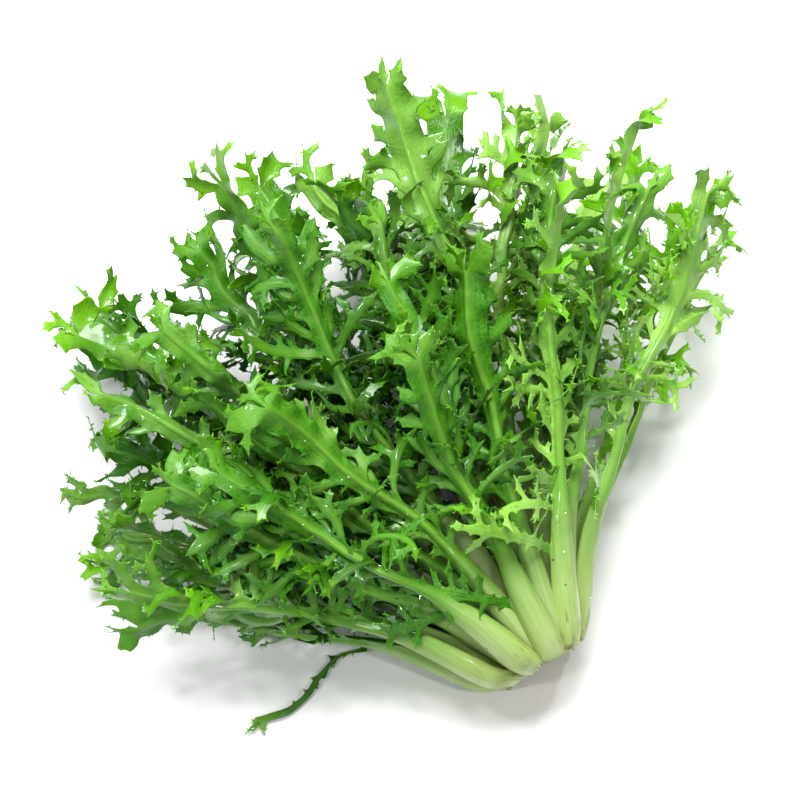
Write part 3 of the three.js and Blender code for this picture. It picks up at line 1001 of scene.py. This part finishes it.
stemShape = {
    "cutRadius": 15.2 * mm,
    "length": 17 * mm,
    "around": 40,
    "uneven": 0.5 * mm,
    "profile": [  # shares of the cut's radius and of the length
        (0.0, 0.0), (0.35, 0.0), (0.7, 0.0), (0.93, 0.0), (1.0, 0.05), (1.04, 0.3), (1.02, 0.65), (0.8, 0.88),
        (0.45, 0.97), (0.0, 1.0)],
}


def stemStart():
    # the middle of the CAD stem's cut face: the mean of its lowest points along the head
    places = np.array([tuple(v.co) for v in nodes["stem"].data.vertices])
    axis = np.array([0, math.cos(headRise), math.sin(headRise)])
    far = places @ axis
    return Vector(places[far < far.min() + 0.2 * mm].mean(0))


def cutStem():
    axis = Vector((0, 1, math.tan(headRise))).normalized()
    across = Vector((1, 0, 0))
    upward = across.cross(axis).normalized()
    start = stemStart()
    around = stemShape["around"]
    bumps = np.random.default_rng(11).uniform(-1, 1, around)
    made = bmesh.new()
    cutLayer = made.verts.layers.float.new("cut")
    edgeLayer = made.verts.layers.float.new("edge")
    rings = []
    for radius, along in stemShape["profile"]:
        ring = []
        for k in range(around if radius > 0 else 1):
            angle = 2 * math.pi * k / around
            r = radius * stemShape["cutRadius"] + (bumps[k] * stemShape["uneven"] if radius > 0.6 else 0)
            place = start + across * (r * math.cos(angle)) + upward * (r * math.sin(angle))
            v = made.verts.new(place + axis * (along * stemShape["length"]))
            v[cutLayer] = 1.0 if along == 0 else 0.0
            v[edgeLayer] = max(0.0, (radius - 0.6) / 0.4) if along <= 0.05 else 0.0
            ring.append(v)
        rings.append(ring)
    for ring, following in zip(rings, rings[1:]):
        for k in range(around):
            corners = [row[i % len(row)] for row, i in (
                (ring, k), (ring, k + 1), (following, k + 1), (following, k))]
            made.faces.new(dict.fromkeys(corners))
    bmesh.ops.recalc_face_normals(made, faces=made.faces)
    mesh = bpy.data.meshes.new("cutStem")
    made.to_mesh(mesh)
    made.free()
    mesh.polygons.foreach_set("use_smooth", [True] * len(mesh.polygons))
    mesh.materials.append(stemMaterial())
    return mesh


stemPiece = bpy.data.objects.new("cutStem", cutStem())
bpy.context.scene.collection.objects.link(stemPiece)
smoothStem = stemPiece.modifiers.new("smooth", "SUBSURF")
smoothStem.levels = smoothStem.render_levels = 1
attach(stemPiece, "root")
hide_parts("stem")
print("stem made")


# floor, light and camera

stage = {
    "floor": (0.84, 0.84, 0.84),
    "world": 0.22,
    "lamps": {  # place, size, power
        "key": ((0.15, 0.4, 1.2), 0.7, 29.0),
        "glint0": ((0.7, 0.2, 0.9), 0.07, 3.2),
        "glint1": ((-0.5, 0.5, 1.0), 0.07, 3.2),
        "glint2": ((0.1, -0.6, 1.0), 0.07, 2.4),
        "glint3": ((-0.7, -0.1, 0.9), 0.07, 2.4),
        "fill": ((-0.9, -0.5, 0.8), 0.9, 1.5),
    },
    "azimuth": -33.0,
    "elevation": 66.0,
    "distance": 1.15,
    "lens": 114.7,
    "aimRight": -0.0654,  # from under the cut to where the camera looks
    "aimUp": 0.1254,
}


def floorMaterial():
    material, shader = newMaterial("floorPaint")
    surface = shader.add("ShaderNodeBsdfPrincipled", sockets={
        "Base Color": (*stage["floor"], 1), "Roughness": 0.8,
    })
    shader.add("ShaderNodeOutputMaterial", sockets={"Surface": surface.outputs[0]})
    return material


def addFloor():
    mesh = bpy.data.meshes.new("floor")
    size, low = 4.0, -0.4 * mm
    corners = [(-size, -size, low), (size, -size, low), (size, size, low), (-size, size, low)]
    mesh.from_pydata(corners, [], [(0, 1, 2, 3)])
    mesh.materials.append(floorMaterial())
    floor = bpy.data.objects.new("floor", mesh)
    bpy.context.scene.collection.objects.link(floor)


def addLamp(name, place, size, power):
    lamp = bpy.data.lights.new(name, "AREA")
    lamp.size, lamp.energy = size, power
    holder = bpy.data.objects.new(name, lamp)
    holder.location = place
    holder.rotation_euler = (-Vector(place)).to_track_quat("-Z", "Y").to_euler()
    bpy.context.scene.collection.objects.link(holder)


def addCamera():
    azimuth, elevation = math.radians(stage["azimuth"]), math.radians(stage["elevation"])
    level = math.cos(elevation)
    back = Vector((math.sin(azimuth) * level, -math.cos(azimuth) * level, math.sin(elevation)))
    right = Vector((math.cos(azimuth), math.sin(azimuth), 0))
    upward = back.cross(right)
    base = stemStart()
    base.z = 0
    aim = base + right * stage["aimRight"] + upward * stage["aimUp"]
    camera = bpy.data.cameras.new("camera")
    camera.lens, camera.sensor_width, camera.clip_end = stage["lens"], 36, 20
    holder = bpy.data.objects.new("camera", camera)
    holder.location = aim + back * stage["distance"]
    holder.rotation_euler = back.to_track_quat("Z", "Y").to_euler()
    bpy.context.scene.collection.objects.link(holder)
    bpy.context.scene.camera = holder


addFloor()
for name, (place, size, power) in stage["lamps"].items():
    addLamp(name, place, size, power)
world = bpy.data.worlds.new("studio")
world.use_nodes = True
background = world.node_tree.nodes["Background"]
background.inputs["Color"].default_value = (1, 1, 1, 1)
background.inputs["Strength"].default_value = stage["world"]
bpy.context.scene.world = world
bpy.context.scene.view_settings.view_transform = "Standard"
addCamera()
print("stage set")
